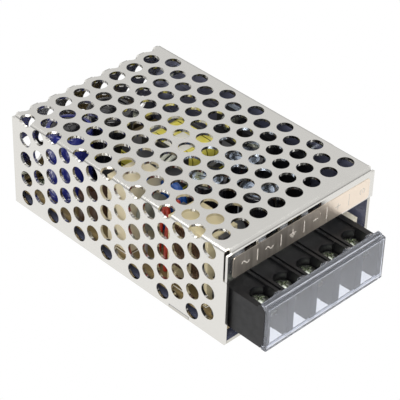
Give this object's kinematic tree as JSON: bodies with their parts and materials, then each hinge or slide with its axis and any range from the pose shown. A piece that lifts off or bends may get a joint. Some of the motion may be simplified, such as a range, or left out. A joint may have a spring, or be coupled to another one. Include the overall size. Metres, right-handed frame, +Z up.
{
  "type": "enclosed switching power supply",
  "caption": "Enclosed switching power supply in a perforated metal case, with screw terminals under a hinged clear cover and its board and components inside.",
  "frame": {"origin": "middle of the case's underside", "axes": "+X along the case towards the terminals, -Y out of the perforated long wall, +Z up out of the perforated top"},
  "size_m": [0.0902, 0.051, 0.028],
  "materials": {
    "case_base": "bright plated",
    "case_cover": "bright plated",
    "cover_screws": "zinc plated",
    "legend_label": "glossy",
    "insulation_sheet": "matte",
    "pcb": "satin",
    "pcb_spacers": "zinc plated",
    "pcb_screws": "zinc plated",
    "terminal_block": "satin",
    "terminal_cover": "clear glossy",
    "terminal_screw": "zinc plated",
    "clamp_plate": "zinc plated",
    "terminal_contact": "tin plated",
    "input_capacitor_1": "glossy",
    "input_capacitor_2": "glossy",
    "fuse": "satin",
    "bridge_rectifier": "matte",
    "film_capacitor": "satin",
    "thermistor": "matte",
    "safety_capacitor": "lacquered",
    "line_choke_core": "matte ferrite",
    "line_choke_bobbin": "satin",
    "line_choke_windings": "enamelled wire",
    "transformer_core": "matte ferrite",
    "core_tape": "glossy",
    "transformer_bobbin": "satin",
    "transformer_winding": "glossy tape",
    "output_capacitor": "glossy",
    "output_inductor": "shrink sleeve",
    "heat_sink": "black anodised",
    "output_diode": "matte",
    "power_transistor": "matte",
    "thermal_pad": "matte",
    "device_screws": "zinc plated",
    "optocoupler": "matte",
    "trimmer_body": "satin",
    "trimmer_rotor": "satin",
    "indicator_led": "translucent",
    "resistors": "lacquered"
  },
  "bodies": {
    "case": {"case_base": "case_base", "case_cover": "case_cover", "cover_screws": "cover_screws", "legend_label": "legend_label", "insulation_sheet": "insulation_sheet", "pcb": "pcb", "pcb_spacers": "pcb_spacers", "pcb_screws": "pcb_screws", "terminal_block": "terminal_block", "terminal_contact_1": "terminal_contact", "terminal_contact_2": "terminal_contact", "terminal_contact_3": "terminal_contact", "terminal_contact_4": "terminal_contact", "terminal_contact_5": "terminal_contact", "input_capacitor_1": "input_capacitor_1", "input_capacitor_2": "input_capacitor_2", "fuse": "fuse", "bridge_rectifier": "bridge_rectifier", "film_capacitor": "film_capacitor", "thermistor": "thermistor", "safety_capacitor": "safety_capacitor", "line_choke_core": "line_choke_core", "line_choke_bobbin": "line_choke_bobbin", "line_choke_windings": "line_choke_windings", "transformer_core": "transformer_core", "core_tape": "core_tape", "transformer_bobbin": "transformer_bobbin", "transformer_winding": "transformer_winding", "output_capacitor_1": "output_capacitor", "output_capacitor_2": "output_capacitor", "output_capacitor_3": "output_capacitor", "output_inductor": "output_inductor", "heat_sink": "heat_sink", "output_diode": "output_diode", "power_transistor": "power_transistor", "thermal_pad": "thermal_pad", "device_screws": "device_screws", "optocoupler": "optocoupler", "trimmer_body": "trimmer_body", "indicator_led": "indicator_led", "resistors": "resistors"},
    "clear_cover": {"terminal_cover": "terminal_cover"},
    "clamp_1": {"clamp_plate_1": "clamp_plate"},
    "clamp_2": {"clamp_plate_2": "clamp_plate"},
    "clamp_3": {"clamp_plate_3": "clamp_plate"},
    "clamp_4": {"clamp_plate_4": "clamp_plate"},
    "clamp_5": {"clamp_plate_5": "clamp_plate"},
    "screw_1": {"terminal_screw_1": "terminal_screw"},
    "screw_2": {"terminal_screw_2": "terminal_screw"},
    "screw_3": {"terminal_screw_3": "terminal_screw"},
    "screw_4": {"terminal_screw_4": "terminal_screw"},
    "screw_5": {"terminal_screw_5": "terminal_screw"},
    "trimmer": {"trimmer_rotor": "trimmer_rotor"}
  },
  "joints": [
    {"name": "clear_cover_hinge", "type": "hinge", "parent": "case", "child": "clear_cover", "pos_m": [0.0487, -0.00365, 0.0167], "axis": [0, 1, 0], "range_deg": [-88, 0]},
    {"name": "clamp_1_lift", "type": "slide", "parent": "case", "child": "clamp_1", "axis": [0, 0, 1], "range_m": [0, 0.0015]},
    {"name": "screw_1_turn", "type": "hinge", "parent": "clamp_1", "child": "screw_1", "pos_m": [0.0442, -0.01965, 0.0122], "axis": [0, 0, 1], "range_deg": [0, 1080]},
    {"name": "clamp_2_lift", "type": "slide", "parent": "case", "child": "clamp_2", "axis": [0, 0, 1], "range_m": [0, 0.0015]},
    {"name": "screw_2_turn", "type": "hinge", "parent": "clamp_2", "child": "screw_2", "pos_m": [0.0442, -0.01165, 0.0122], "axis": [0, 0, 1], "range_deg": [0, 1080]},
    {"name": "clamp_3_lift", "type": "slide", "parent": "case", "child": "clamp_3", "axis": [0, 0, 1], "range_m": [0, 0.0015]},
    {"name": "screw_3_turn", "type": "hinge", "parent": "clamp_3", "child": "screw_3", "pos_m": [0.0442, -0.00365, 0.0122], "axis": [0, 0, 1], "range_deg": [0, 1080]},
    {"name": "clamp_4_lift", "type": "slide", "parent": "case", "child": "clamp_4", "axis": [0, 0, 1], "range_m": [0, 0.0015]},
    {"name": "screw_4_turn", "type": "hinge", "parent": "clamp_4", "child": "screw_4", "pos_m": [0.0442, 0.00435, 0.0122], "axis": [0, 0, 1], "range_deg": [0, 1080]},
    {"name": "clamp_5_lift", "type": "slide", "parent": "case", "child": "clamp_5", "axis": [0, 0, 1], "range_m": [0, 0.0015]},
    {"name": "screw_5_turn", "type": "hinge", "parent": "clamp_5", "child": "screw_5", "pos_m": [0.0442, 0.01235, 0.0122], "axis": [0, 0, 1], "range_deg": [0, 1080]},
    {"name": "trimmer_turn", "type": "hinge", "parent": "case", "child": "trimmer", "pos_m": [0.0346, 0.0199, 0.0096], "axis": [1, 0, 0], "range_deg": [-135, 135]}
  ],
  "couplings": [
    {"joint": "screw_1_turn", "follows": "clamp_1_lift", "rad_per_m": 12566},
    {"joint": "screw_2_turn", "follows": "clamp_2_lift", "rad_per_m": 12566},
    {"joint": "screw_3_turn", "follows": "clamp_3_lift", "rad_per_m": 12566},
    {"joint": "screw_4_turn", "follows": "clamp_4_lift", "rad_per_m": 12566},
    {"joint": "screw_5_turn", "follows": "clamp_5_lift", "rad_per_m": 12566}
  ]
}
